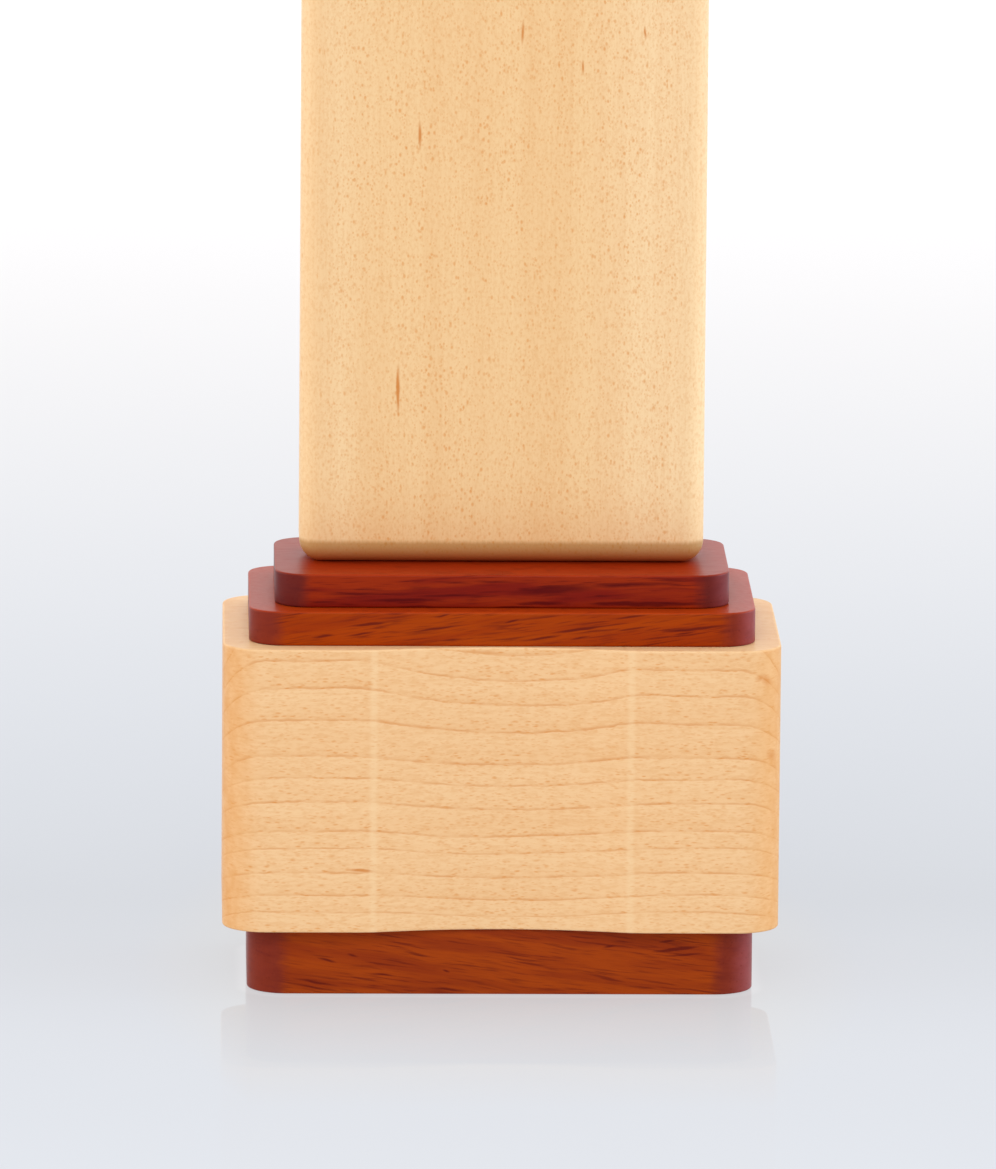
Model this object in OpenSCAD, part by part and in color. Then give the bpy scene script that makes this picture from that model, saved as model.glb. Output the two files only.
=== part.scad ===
// Free-standing wooden tablet on a stepped base.
// Origin: centre of the footprint, on the surface the felt rests on. +Z up, the front faces -Y.

/* [Tablet] */
// Width of the tablet
tablet_w = 55.3; // [44:0.1:70]
// Thickness of the tablet
tablet_t = 12.8; // [10:0.1:18]
// Height of the tablet
tablet_h = 121; // [80:0.5:200]
// Radius that every edge of the tablet is rounded to
tablet_round = 3.1; // [1:0.1:4]

/* [Steps] */
// How far the upper step stands out past the tablet, at the sides
upper_out_x = 3.35; // [1:0.05:8]
// How far the upper step stands out past the tablet, at the front and back
upper_out_y = 7.65; // [3:0.05:12]
// How far the lower step and then the block stand out past the piece above, at the sides
step_out_x = 3.5; // [2:0.1:6]
// How far the lower step and then the block stand out past the piece above, at the front and back
step_out_y = 3.1; // [2:0.1:6]
// Thickness of the lower step
lower_step_h = 4.7; // [3:0.1:9]
// Thickness of the upper step
upper_step_h = 4.6; // [3:0.1:9]
// Radius of the steps' upright corners
step_corner_r = 4.6; // [1:0.1:6]

/* [Block] */
// Height of the maple block, the widest piece
block_h = 39.2; // [30:0.1:70]
// Radius of the block's upright corners
block_corner_r = 5.8; // [2:0.1:8]
// Width of the hollow down the middle of the block's front
scoop_w = 35; // [15:0.5:45]
// Depth of the hollow at its middle
scoop_deep = 2.4; // [0.5:0.1:3]

/* [Plinth] */
// How far the plinth stands in from the block, at the sides
plinth_in_x = 3.4; // [1:0.1:6]
// How far the plinth stands in from the block, at the front and back
plinth_in_y = 3.1; // [1:0.1:6]
// Height of the plinth
plinth_h = 9.2; // [7:0.1:16]
// Radius of the plinth's upright corners
plinth_corner_r = 5.4; // [1:0.1:8]

/* [Pins] */
// Diameter of the two pins that the tablet stands on
pin_d = 5; // [4:0.1:6]
// Distance of the pins' centres from the tablet's sides
pin_inset = 12.65; // [10:0.05:18]
// Length of pin glued into the tablet
pin_in_tablet = 14; // [8:0.5:25]
// Length of pin that reaches into the block, below both steps
pin_in_block = 5; // [3:0.5:15]
// Radial clearance of the pins in the base, so that the tablet lifts out
pin_fit = 0.05; // [0.02:0.01:0.1]

/* [Dowels] */
// Diameter of the dowels that hold the steps on the block
step_dowel_d = 4; // [3:0.5:5]
// Distance of the step dowels' centres from the upper step's sides
step_dowel_inset = 7; // [4:0.5:9]
// Length of step dowel in the block
step_dowel_in_block = 6; // [4:0.5:15]
// Thickness of wood left over the step dowels' holes
step_dowel_cover = 1.3; // [0.6:0.1:2]
// Diameter of the dowels that hold the block on the plinth
plinth_dowel_d = 6; // [4:0.5:8]
// Distance of the plinth dowels' centres from the plinth's sides
plinth_dowel_inset = 7.6; // [5.5:0.1:9]
// Thickness of wood left under the plinth dowels' holes
plinth_dowel_floor = 2.9; // [1:0.1:5]
// Length of plinth dowel in the block
plinth_dowel_in_block = 9; // [5:0.5:18]

/* [Screws] */
// Length of the screws, over the head
screw_len = 25; // [20:1:32]
// Diameter of the screws over the thread
screw_d = 3.5; // [3:0.1:4.5]
// Diameter of the screws' core
screw_core_d = 2.4; // [1.8:0.1:2.8]
// Diameter of the countersunk heads
screw_head_d = 7; // [6:0.1:8.5]
// Height of one turn of the thread
screw_pitch = 1.6; // [1.2:0.1:2.5]
// Distance from a plinth dowel's centre to the screw's beside it
screw_from_dowel = 10; // [8:0.5:16]

/* [Felt] */
// Thickness of the felt sheet under the plinth
felt_t = 1; // [0.5:0.1:2]
// How far the felt stands out of its recess
felt_proud = 0.2; // [0.1:0.05:0.4]
// Width of the rim of wood around the felt
felt_rim = 3; // [2:0.5:6]

/* [Hidden] */
$fn = 96;
// Gap left for glue around a dowel and at its ends, and around the felt
glue_gap = 0.05;
end_gap = 0.5;
felt_gap = 0.15;
// Bevel on the ends of pins and dowels
pin_bevel = 0.6;
// Clearance of the screws in the plinth, and the depth their heads are sunk below the felt
screw_gap = 0.15;
screw_sink = 0.2;
// Straight rim of the head, plain shank below it, and length of the point
screw_rim = 0.4;
screw_plain = 7;
screw_point = 4;
// Width, reach and depth of the cross cut in a screw's head
cross_w = 1;
cross_reach = 4;
cross_deep = 1.5;
// Cuts run this far past the face that they open
past = 1;

// Heights of the faces where the pieces meet
plinth_z = felt_proud;
block_z = plinth_z + plinth_h;
lower_step_z = block_z + block_h;
upper_step_z = lower_step_z + lower_step_h;
tablet_z = upper_step_z + upper_step_h;
screw_z = felt_t + screw_sink;

// Footprints, each taken from the piece above or below it
upper_w = tablet_w + 2 * upper_out_x;
upper_d = tablet_t + 2 * upper_out_y;
lower_w = upper_w + 2 * step_out_x;
lower_d = upper_d + 2 * step_out_y;
block_w = lower_w + 2 * step_out_x;
block_d = lower_d + 2 * step_out_y;
plinth_w = block_w - 2 * plinth_in_x;
plinth_d = block_d - 2 * plinth_in_y;
felt_w = plinth_w - 2 * felt_rim;
felt_d = plinth_d - 2 * felt_rim;
felt_corner_r = max(plinth_corner_r - felt_rim, 1);

// A circle through the two edges of the scoop and its deepest point
scoop_r = (scoop_w * scoop_w / 4 + scoop_deep * scoop_deep) / (2 * scoop_deep);

// Distances between the centres of each pair
pin_spacing = tablet_w - 2 * pin_inset;
step_dowel_spacing = upper_w - 2 * step_dowel_inset;
plinth_dowel_spacing = plinth_w - 2 * plinth_dowel_inset;
screw_spacing = plinth_dowel_spacing - 2 * screw_from_dowel;

// Lengths that span more than one piece
pin_in_base = upper_step_h + lower_step_h + pin_in_block;
step_dowel_in_upper = upper_step_h - step_dowel_cover - end_gap;
step_dowel_len = step_dowel_in_block + lower_step_h + step_dowel_in_upper;
plinth_dowel_in_plinth = block_z - felt_t - plinth_dowel_floor - end_gap;
plinth_dowel_len = plinth_dowel_in_plinth + plinth_dowel_in_block;

// Left is -X as seen from the front
LEFT = -1;
RIGHT = 1;

// ---- shapes that repeat ----

// A rectangle with round corners, centred on the origin
module rounded_outline(w, d, r) {
    square([w - 2 * r, d], center = true);
    square([w, d - 2 * r], center = true);
    for (sx = [-1, 1], sy = [-1, 1])
        translate([sx * (w / 2 - r), sy * (d / 2 - r)]) circle(r = r);
}

// A flat plate with round upright corners, standing on z = 0
module plate(w, d, h, r) {
    linear_extrude(height = h) rounded_outline(w, d, r);
}

// Half of a slice through a board's rounded edge: x runs outwards, y through the thickness
module rim_profile(t, r) {
    intersection() {
        union() {
            square([2 * r, t - 2 * r], center = true);
            for (s = [-1, 1]) translate([0, s * (t / 2 - r)]) circle(r = r);
        }
        translate([0, -t / 2]) square([r, t]);
    }
}

// A board with every edge and corner rounded, standing on z = 0: a flat core, a rim along
// each side, and the same rim turned through a quarter circle at each corner
module rounded_board(w, t, h, r) {
    core = [w - 2 * r, h - 2 * r];
    translate([0, 0, h / 2]) rotate([90, 0, 0]) {
        cube([core.x, core.y, t], center = true);
        for (quarter = [0:3]) {
            across = core[quarter % 2];
            along = core[1 - quarter % 2];
            rotate([0, 0, 90 * quarter]) {
                translate([across / 2, 0, 0]) rotate([90, 0, 0])
                    linear_extrude(height = along, center = true) rim_profile(t, r);
                translate([across / 2, along / 2, 0])
                    rotate_extrude(angle = 90) rim_profile(t, r);
            }
        }
    }
}

// A round peg with bevelled ends, standing on z = 0
module peg(d, len) {
    cylinder(d1 = d - 2 * pin_bevel, d2 = d, h = pin_bevel);
    translate([0, 0, pin_bevel]) cylinder(d = d, h = len - 2 * pin_bevel);
    translate([0, 0, len - pin_bevel]) cylinder(d1 = d, d2 = d - 2 * pin_bevel, h = pin_bevel);
}

// Places its children at both ends of a spacing along X
module pair(spacing) {
    for (side = [LEFT, RIGHT]) translate([side * spacing / 2, 0, 0]) children();
}

// The hole for a peg of this diameter and length, standing on the height where the peg starts
module peg_hole(d, len, gap) {
    translate([0, 0, -end_gap]) cylinder(d = d + 2 * gap, h = len + 2 * end_gap);
}

// ---- the holes that pass through more than one piece ----

module pin_holes() {
    pair(pin_spacing) translate([0, 0, tablet_z - pin_in_base])
        peg_hole(pin_d, pin_in_base + past, pin_fit);
}

module step_dowel_holes() {
    pair(step_dowel_spacing) translate([0, 0, lower_step_z - step_dowel_in_block])
        peg_hole(step_dowel_d, step_dowel_len, glue_gap);
}

module plinth_dowel_holes() {
    pair(plinth_dowel_spacing) translate([0, 0, block_z - plinth_dowel_in_plinth])
        peg_hole(plinth_dowel_d, plinth_dowel_len, glue_gap);
}

// Countersink and shank hole in the plinth
module screw_clearance() {
    head_r = screw_head_d / 2;
    shank_r = screw_d / 2 + screw_gap;
    cone_h = head_r - screw_d / 2;
    pair(screw_spacing) {
        translate([0, 0, felt_t - past]) cylinder(r = head_r + screw_gap, h = past + screw_sink + screw_rim);
        translate([0, 0, screw_z + screw_rim]) cylinder(r1 = head_r + screw_gap, r2 = shank_r, h = cone_h);
        translate([0, 0, screw_z]) cylinder(r = shank_r, h = plinth_h);
    }
}

// Pilot hole in the block, as wide as the screw's core
module screw_pilot() {
    pair(screw_spacing) translate([0, 0, block_z - past])
        cylinder(d = screw_core_d, h = screw_z + screw_len + end_gap - block_z + past);
}

// ---- the pieces ----

module felt_pad() {
    color("dimgray")
        plate(felt_w - 2 * felt_gap, felt_d - 2 * felt_gap, felt_t, felt_corner_r - felt_gap);
}

module plinth() {
    color("saddlebrown") difference() {
        translate([0, 0, plinth_z]) plate(plinth_w, plinth_d, plinth_h, plinth_corner_r);
        translate([0, 0, -past]) plate(felt_w, felt_d, felt_t + past, felt_corner_r);
        screw_clearance();
        plinth_dowel_holes();
    }
}

// A countersunk wood screw with its head down; the thread is drawn as one ridge for each turn
module plinth_screw(side) {
    head_r = screw_head_d / 2;
    core_r = screw_core_d / 2;
    thread_r = screw_d / 2;
    cone_h = head_r - thread_r;
    cone_top = screw_rim + cone_h;
    thread_start = cone_top + screw_plain;
    turns = floor((screw_len - screw_point - thread_start) / screw_pitch);
    ridge = [for (i = [0:turns - 1], step = [0, 0.25, 0.5])
        [step == 0.25 ? thread_r : core_r, thread_start + (i + step) * screw_pitch]];
    outline = concat(
        [[0, 0], [head_r, 0], [head_r, screw_rim], [thread_r, cone_top], [core_r, cone_top + thread_r - core_r]],
        ridge,
        [[core_r, screw_len - screw_point], [0, screw_len]]
    );
    color("silver") translate([side * screw_spacing / 2, 0, screw_z]) difference() {
        rotate_extrude() polygon(outline);
        for (turn = [0, 90]) rotate([0, 0, turn])
            translate([-cross_reach / 2, -cross_w / 2, -past]) cube([cross_reach, cross_w, cross_deep + past]);
    }
}

module plinth_dowel(side) {
    color("wheat") translate([side * plinth_dowel_spacing / 2, 0, block_z - plinth_dowel_in_plinth])
        peg(plinth_dowel_d, plinth_dowel_len);
}

module body_block() {
    color("burlywood") difference() {
        translate([0, 0, block_z]) plate(block_w, block_d, block_h, block_corner_r);
        // the hollow runs the whole height of the front
        translate([0, scoop_deep - block_d / 2 - scoop_r, block_z - past])
            cylinder(r = scoop_r, h = block_h + 2 * past, $fn = 240);
        screw_pilot();
        plinth_dowel_holes();
        step_dowel_holes();
        pin_holes();
    }
}

module step_dowel(side) {
    color("wheat") translate([side * step_dowel_spacing / 2, 0, lower_step_z - step_dowel_in_block])
        peg(step_dowel_d, step_dowel_len);
}

module lower_step() {
    color("sienna") difference() {
        translate([0, 0, lower_step_z]) plate(lower_w, lower_d, lower_step_h, step_corner_r);
        step_dowel_holes();
        pin_holes();
    }
}

module upper_step() {
    color("brown") difference() {
        translate([0, 0, upper_step_z]) plate(upper_w, upper_d, upper_step_h, step_corner_r);
        step_dowel_holes();
        pin_holes();
    }
}

module tablet_pin(side) {
    color("wheat") translate([side * pin_spacing / 2, 0, tablet_z - pin_in_base])
        peg(pin_d, pin_in_base + pin_in_tablet);
}

module tablet() {
    color("navajowhite") difference() {
        translate([0, 0, tablet_z]) rounded_board(tablet_w, tablet_t, tablet_h, tablet_round);
        pair(pin_spacing) translate([0, 0, tablet_z - past])
            cylinder(d = pin_d + 2 * glue_gap, h = past + pin_in_tablet + end_gap);
    }
}

felt_pad();
plinth();
plinth_screw(LEFT);  // plinth_screw_left
plinth_screw(RIGHT);  // plinth_screw_right
plinth_dowel(LEFT);  // plinth_dowel_left
plinth_dowel(RIGHT);  // plinth_dowel_right
body_block();
step_dowel(LEFT);  // step_dowel_left
step_dowel(RIGHT);  // step_dowel_right
lower_step();
upper_step();
tablet_pin(LEFT);  // tablet_pin_left
tablet_pin(RIGHT);  // tablet_pin_right
tablet();
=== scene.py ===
"""A maple tablet on a stepped base of maple and red hardwood, and a small studio, laid out as an add-on."""

import math

import bmesh
import bpy
import numpy as np
from bpy.props import FloatProperty, FloatVectorProperty, PointerProperty
from bpy.types import Operator, Panel, PropertyGroup
from mathutils import Matrix, Vector


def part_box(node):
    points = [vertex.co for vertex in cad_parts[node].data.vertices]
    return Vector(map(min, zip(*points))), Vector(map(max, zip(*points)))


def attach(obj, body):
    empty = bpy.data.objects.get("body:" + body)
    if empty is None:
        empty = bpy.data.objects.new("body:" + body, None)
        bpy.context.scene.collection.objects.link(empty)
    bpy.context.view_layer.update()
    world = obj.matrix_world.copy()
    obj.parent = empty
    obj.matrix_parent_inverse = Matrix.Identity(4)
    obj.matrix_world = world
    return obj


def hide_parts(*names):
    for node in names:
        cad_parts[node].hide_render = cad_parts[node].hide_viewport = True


bl_info = {
    "name": "Tablet on a stepped base",
    "version": (1, 0, 0),
    "blender": (4, 5, 0),
    "location": "3D View > Sidebar > Tablet",
    "description": "Builds the tablet, its stepped base, their woods and a small studio",
    "category": "Add Mesh",
}

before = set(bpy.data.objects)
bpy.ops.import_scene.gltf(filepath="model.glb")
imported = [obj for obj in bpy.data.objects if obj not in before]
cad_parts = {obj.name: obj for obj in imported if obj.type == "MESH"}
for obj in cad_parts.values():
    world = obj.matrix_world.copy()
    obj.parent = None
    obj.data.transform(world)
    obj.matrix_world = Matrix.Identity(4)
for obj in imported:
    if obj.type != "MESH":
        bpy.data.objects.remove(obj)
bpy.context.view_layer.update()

MM = 0.001

# The bodies that the pieces move with
BASE = "base"
BOARD = "tablet_board"


def linear(red, green, blue):
    """The linear colour of an 8-bit display colour."""
    share = np.array((red, green, blue)) / 255
    light = np.where(share <= 0.04045, share / 12.92, ((share + 0.055) / 1.055) ** 2.4)
    return tuple(light.tolist())


# ---------------------------------------------------------------- settings


def size(name, description, value, most):
    """A length that a user may change, from a fiftieth of most up to most, given in millimetres."""
    return FloatProperty(name=name, description=description, default=value * MM, min=most / 50 * MM,
                         max=most * MM, precision=5, unit="LENGTH")


def paint(name, description, *display):
    """A colour that a user may change, given as an 8-bit display colour."""
    return FloatVectorProperty(name=name, description=description, default=linear(*display), min=0, max=1,
                               subtype="COLOR")


def watts(name, description, value):
    """The strength of a light, which a user may change."""
    return FloatProperty(name=name, description=description, default=value, min=0, unit="POWER")


class StandSizes(PropertyGroup):
    """Sizes that the frame's boxes don't give."""

    tablet_round: size("Tablet rounding", "Radius of every edge of the tablet", 3.1, 4)
    step_corner: size("Step corners", "Radius of the steps' upright corners", 4.6, 6)
    block_corner: size("Block corners", "Radius of the block's upright corners", 5.8, 8)
    plinth_corner: size("Plinth corners", "Radius of the plinth's upright corners", 5.4, 8)
    scoop_width: size("Hollow width", "Width of the hollow down the block's front", 35, 45)
    scoop_depth: size("Hollow depth", "Depth of the hollow at its middle", 2.4, 4)
    crease_ease: size("Sanded crease", "How soft the line is where the hollow meets the flat front", 0.3, 1)
    edge_ease: size("Eased edge", "Radius that the base's sharp edges are sanded to", 0.25, 1)
    peg_gap: size("Peg gap", "Gap around a pin or dowel in its hole", 0.05, 0.2)
    felt_gap: size("Felt gap", "Gap around the felt in its recess", 0.15, 1)


class WoodColours(PropertyGroup):
    """Colours of the woods, and of what is inside and under the base."""

    tablet: paint("Tablet", "Clear maple of the tablet", 244, 205, 153)
    # This colour is the tablet's paler sapwood, and also the painted highlights down the block's creases and
    # along its top
    sapwood_and_highlight: paint("Sapwood", "Paler maple towards the tablet's sides", 250, 217, 170)
    # This colour is painted shade on the rounding at the tablet's foot, which faces down to the red step, in
    # a brown like end grain
    foot: paint("Tablet foot", "Browner end grain on the rounding at the tablet's foot", 178, 126, 62)
    block: paint("Block", "Clear maple of the block", 246, 204, 154)
    # This colour is the maple's bands and end grain, and also the painted shade that darkens the tablet
    # towards its foot
    dot: paint("Maple band", "Bands and end grain of the maple", 220, 150, 78)
    ray: paint("Maple dots", "Small dots and dashes where the maple's rays end", 220, 134, 42)
    ring: paint("Maple ring", "Lines between the maple's growth rings", 212, 132, 60)
    # This colour is the maple's dark streaks and the beech's rays, and also the painted shade at the very
    # bottom of the tablet's foot
    fleck_and_shade: paint("Maple fleck", "Dark mineral streaks in the maple, and the rays of the beech",
                 192, 108, 50)
    upper_red: paint("Upper step", "Ground colour of the upper step", 153, 44, 8)
    upper_band: paint("Upper step bands", "Darker bands in the upper step", 124, 22, 12)
    upper_streak: paint("Upper step streaks", "Dark streaks in the upper step", 84, 4, 8)
    upper_end: paint("Upper step end", "End grain of the upper step", 96, 34, 32)
    lower_red: paint("Lower step", "Ground colour of the lower step", 167, 62, 0)
    lower_band: paint("Lower step bands", "Darker bands in the lower step", 150, 46, 2)
    plinth_red: paint("Plinth", "Ground colour of the plinth", 163, 64, 10)
    plinth_band: paint("Plinth bands", "Darker bands in the plinth", 136, 44, 12)
    streak: paint("Dark streak", "Dark streaks in the lower step and the plinth", 92, 18, 12)
    red_end: paint("Red end grain", "End grain of the red hardwood", 124, 44, 32)
    # This colour is the red hardwood's end grain on the right with a painted bluish reflection of the bright
    # surroundings laid into it, which makes it paler
    pale_end_sheen: paint("Pale end grain", "End grain of the red hardwood on the right, where it is duller",
                    146, 70, 74)
    red_top: paint("Red top", "Red hardwood on the steps' tops, where it is cut flat", 190, 62, 18)
    beech: paint("Pegs", "Beech of the pins and dowels", 222, 182, 134)
    zinc: paint("Screws", "Zinc plating of the screws", 205, 204, 196)
    felt: paint("Felt", "Wool felt under the plinth", 52, 48, 47)


class StudioLights(PropertyGroup):
    """Colour of the floor and strengths of the lights."""

    floor: FloatVectorProperty(name="Floor", description="Colour of the studio floor",
                               default=(0.13, 0.135, 0.14), min=0, max=1, subtype="COLOR")
    glow: FloatProperty(name="Floor glow", description="Light that comes up through the floor",
                        default=0.6, min=0, max=2)
    sky: FloatProperty(name="Surroundings", description="Brightness of the white surroundings",
                       default=0.85, min=0, max=5)
    key: watts("Key light", "Softbox above the camera", 12)
    side: watts("Side light", "Softbox on the right", 17)
    fill: watts("Fill light", "Softbox on the left", 7.5)
    rear: watts("Rear light", "Light on the floor behind", 6)


# ---------------------------------------------------------------- mesh tools

# Points nearer than this are one point, and this far inside an edge a flat face gets one more row,
# so that it stays flat up to its edge
WELD = 0.0002 * MM
HOLD = 0.12 * MM
# The crease beside a hollow gets closer points this far each way
SOFT = 1.5 * MM


class Shell:
    """Grids of points, sewn together into one closed mesh."""

    def __init__(self):
        self.points, self.quads, self.size = [], [], 0

    def grid(self, points, around=False, keep=None):
        """Adds rows x columns x 3 points as quads; around closes the rows, and keep masks the quads."""
        rows, columns = points.shape[:2]
        index = np.arange(rows * columns).reshape(rows, columns) + self.size
        if around:
            index = np.concatenate([index, index[:, :1]], axis=1)
        quads = np.stack([index[:-1, :-1], index[:-1, 1:], index[1:, 1:], index[1:, :-1]], axis=-1)
        self.points.append(points.reshape(-1, 3))
        self.quads.append(quads.reshape(-1, 4) if keep is None else quads[keep])
        self.size += rows * columns

    def mirror(self):
        """Adds everything again on the other side of X = 0."""
        points, quads = np.concatenate(self.points), np.concatenate(self.quads)
        self.points.append(points * (-1, 1, 1))
        self.quads.append(quads[:, ::-1] + self.size)
        self.size *= 2

    def stand_up(self, height):
        """Turns a board that lies on the XY plane upright: (x, y, z) goes to (x, z, y + height)."""
        self.points = [np.stack([p[:, 0], p[:, 2], p[:, 1] + height], 1) for p in self.points]

    def build(self, name, sharp=40):
        """Makes the object, with doubles merged and faces outwards, smooth up to a turn of sharp degrees."""
        mesh = bpy.data.meshes.new(name)
        mesh.from_pydata(np.concatenate(self.points).tolist(), [], np.concatenate(self.quads).tolist())
        work = bmesh.new()
        work.from_mesh(mesh)
        bmesh.ops.remove_doubles(work, verts=work.verts, dist=WELD)
        bmesh.ops.recalc_face_normals(work, faces=work.faces)
        work.to_mesh(mesh)
        work.free()
        mesh.shade_smooth()
        mesh.set_sharp_from_angle(angle=math.radians(sharp))
        piece = bpy.data.objects.new(name, mesh)
        bpy.context.scene.collection.objects.link(piece)
        return piece


def quarter(steps):
    """Angles from 0 to a right angle."""
    return np.linspace(0, math.pi / 2, steps + 1)


def pairs(first, second):
    """Two columns of numbers side by side; a single number fills its column."""
    return np.stack(np.broadcast_arrays(first, second), 1)


def held(values):
    """The values, sorted, with one more a hold inside each end."""
    values = np.asarray(values, float)
    return np.unique(np.concatenate([values, [values.min() + HOLD, values.max() - HOLD]]))


class Outline:
    """Right half of a plate's outline, from its front middle round to its back middle.

    The corners are quarter circles. The front is y = -depth / 2. With a scoop of (half width, depth, ease) it
    is the softer of that and the circle v = deep - depth / 2 - R + sqrt(R^2 - x^2), which is
    (u + v + sqrt((u - v)^2 + ease^2)) / 2. inset(d) is point - d * normal.
    """

    def __init__(self, width, depth, corner, cuts=(), scoop=None):
        right, back = width / 2 - corner, depth / 2 - corner
        self.run = np.unique(np.concatenate([held(np.linspace(0, right, 9)), cuts]))
        self.side = held(np.linspace(-back, back, 5))
        x, y, slope = self.run, 0 * self.run - depth / 2, 0 * self.run
        if scoop:
            half, deep, ease = scoop
            crease = np.linspace(half - SOFT, half + SOFT, 17)
            flat = self.run[self.run > half + 1.1 * SOFT]
            x = np.concatenate([np.linspace(0, crease[0], 24)[:-1], crease, flat])
            radius = (half * half + deep * deep) / (2 * deep)
            chord = np.sqrt(radius * radius - x * x)
            gap = deep - radius + chord
            soft = np.sqrt(gap * gap + ease * ease)
            hollow = x < half + SOFT + WELD
            y = np.where(hollow, gap + soft, 0) / 2 - depth / 2
            slope = np.where(hollow, -x / chord * (1 + gap / soft) / 2, 0)
        length = np.sqrt(1 + slope * slope)
        turn = quarter(14)
        sin, cos = np.sin(turn), np.cos(turn)
        self.points = np.concatenate([
            pairs(x, y)[:-1],
            pairs(right + corner * sin, -back - corner * cos),
            pairs(width / 2, self.side)[1:-1],
            pairs(right + corner * cos, back + corner * sin),
            pairs(self.run, depth / 2)[-2::-1],
        ])
        self.normals = np.concatenate([
            pairs(slope / length, -1 / length)[:-1],
            pairs(sin, -cos),
            pairs(1, 0 * self.side)[1:-1],
            pairs(cos, sin),
            pairs(0 * self.run, 1)[1:],
        ])

    def inset(self, amount):
        """The outline moved inwards."""
        return self.points - amount * self.normals


def at(z, depth_sign=0):
    """Puts flat points at height z, and those that have a depth at z + depth_sign * depth."""
    return lambda flat, depth=0: np.concatenate(
        [flat, np.broadcast_to(z + depth_sign * np.asarray(depth), flat.shape[:-1])[..., None]], -1)


def wall(shell, outline, profile, keep=None):
    """An outline carried along a profile of (inset, z): point = outline - inset * normal, at z."""
    shell.grid(np.stack([at(z)(outline.inset(inset)) for inset, z in profile]), keep=keep)


def mouth(radius, ease, steps=3):
    """(radius, depth) down the rounded mouth of a hole, a quarter circle of radius ease."""
    turn = quarter(steps)
    return pairs(radius + ease * (1 - np.sin(turn)), ease * (1 - np.cos(turn)))


def eased(low, high, ease, rows=4, steps=3):
    """(inset, z) up a wall from low to high, whose two edges are quarter circles of radius ease."""
    bend = mouth(0, ease, steps)
    z = held(np.linspace(low + ease, high - ease, rows))
    return np.concatenate([bend[:-1] + (0, low), pairs(0, z), bend[-2::-1] * (1, -1) + (0, high)])


def border(outline, low, high):
    """The closed loop round a half outline from x = low to x = high, or to its end where high is None."""
    steps = np.linspace(0, 1, 9)[1:-1, None]
    inside = outline[:, 0] >= low - WELD
    loop = [outline[inside]]
    if high is not None:
        inside &= outline[:, 0] <= high + WELD
        front, back = outline[inside & (outline[:, 1] < 0)], outline[inside & (outline[:, 1] > 0)]
        loop = [front, front[-1] + (back[0] - front[-1]) * steps, back]
    last, first = loop[-1][-1], loop[0][0]
    return np.concatenate([*loop, last + (first - last) * steps])


def circle(centre_x, radius, angles):
    """Flat points round a circle whose centre is on Y = 0; radius may be a column, for several circles."""
    return np.stack([centre_x + radius * np.cos(angles), radius * np.sin(angles)], -1)


def cell(shell, loop, centre_x, place, radius, profile, end=None):
    """A part of a flat face inside a loop, with a circle in it whose centre is (centre_x, 0).

    Round the circle is a ring of quads: point = centre + direction * (L + (radius - L) * share), where L is
    the loop's distance. Then the circle goes on along the profile of (radius, depth), and turns to the angles
    of end on the way. place(points, depth) puts flat points in space. Gives the angles of the circle.
    """
    arm = loop - (centre_x, 0)
    length = np.linalg.norm(arm, axis=1)
    turn = np.unwrap(np.arctan2(arm[:, 1], arm[:, 0]))
    shares = np.array([0, 0, 0.3, 0.55, 0.75, 0.9, 1])[:, None] + np.zeros_like(length)
    shares[1] = HOLD / (length - radius)
    shell.grid(place(circle(centre_x, length + (radius - length) * shares, turn)), around=True)
    if len(profile):
        radii, depths = np.array(profile, float).T[:, :, None]
        turning = turn + ((turn if end is None else end) - turn) * np.linspace(0, 1, len(radii))[:, None]
        shell.grid(place(circle(centre_x, radii, turning), depths + 0 * turning), around=True)
    return turn


def face(shell, outline, place, *cells):
    """A flat face, cut at values of x into cells of (low x, high x, centre x, radius, profile, end)."""
    return [cell(shell, border(outline, low, high), centre_x, place, *hole)
            for low, high, centre_x, *hole in cells]


def disc(radius):
    """A flat disc, where a cell has no hole: its circle's radius and the profile to its middle."""
    return radius, [(radius, 0), (radius * 0.6, 0), (0, 0)]


def blind(radius, depth, ease):
    """A hole with a flat bottom."""
    floor = [(radius, depth), (radius * 0.5, depth), (0, depth)]
    return radius + ease, [*mouth(radius, ease), (radius, depth * 0.5), *floor]


def through(radius, depth, ease):
    """A hole that comes out of the face on the other side, which has rim(radius, ease) there."""
    ends = mouth(radius, ease)
    return radius + ease, [*ends, (radius, depth * 0.5), *(ends[::-1] * (1, -1) + (0, depth))]


def rim(radius, ease):
    """Where a hole from the other side comes out."""
    return radius + ease, []


def peg(node):
    """Centre x, radius, lowest z and highest z of an upright peg in the frame."""
    low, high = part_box(node)
    return (low.x + high.x) / 2, (high.x - low.x) / 2, low.z, high.z


# A hole goes this far past the end of its peg
END_GAP = 0.5 * MM


# ---------------------------------------------------------------- the pieces' meshes


def plate_mesh(name, node, corner, ease, top, bottom, cuts=(), scoop=None):
    """A plate that fills its node's box, with eased edges, and these cells in its top and bottom."""
    low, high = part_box(node)
    outline = Outline(high.x - low.x, high.y - low.y, corner, cuts, scoop)
    shell = Shell()
    wall(shell, outline, eased(low.z, high.z, ease))
    edge = outline.inset(ease)
    face(shell, edge, at(high.z, -1), *top)
    face(shell, edge, at(low.z, 1), *bottom)
    shell.mirror()
    return shell.build(name)


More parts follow.
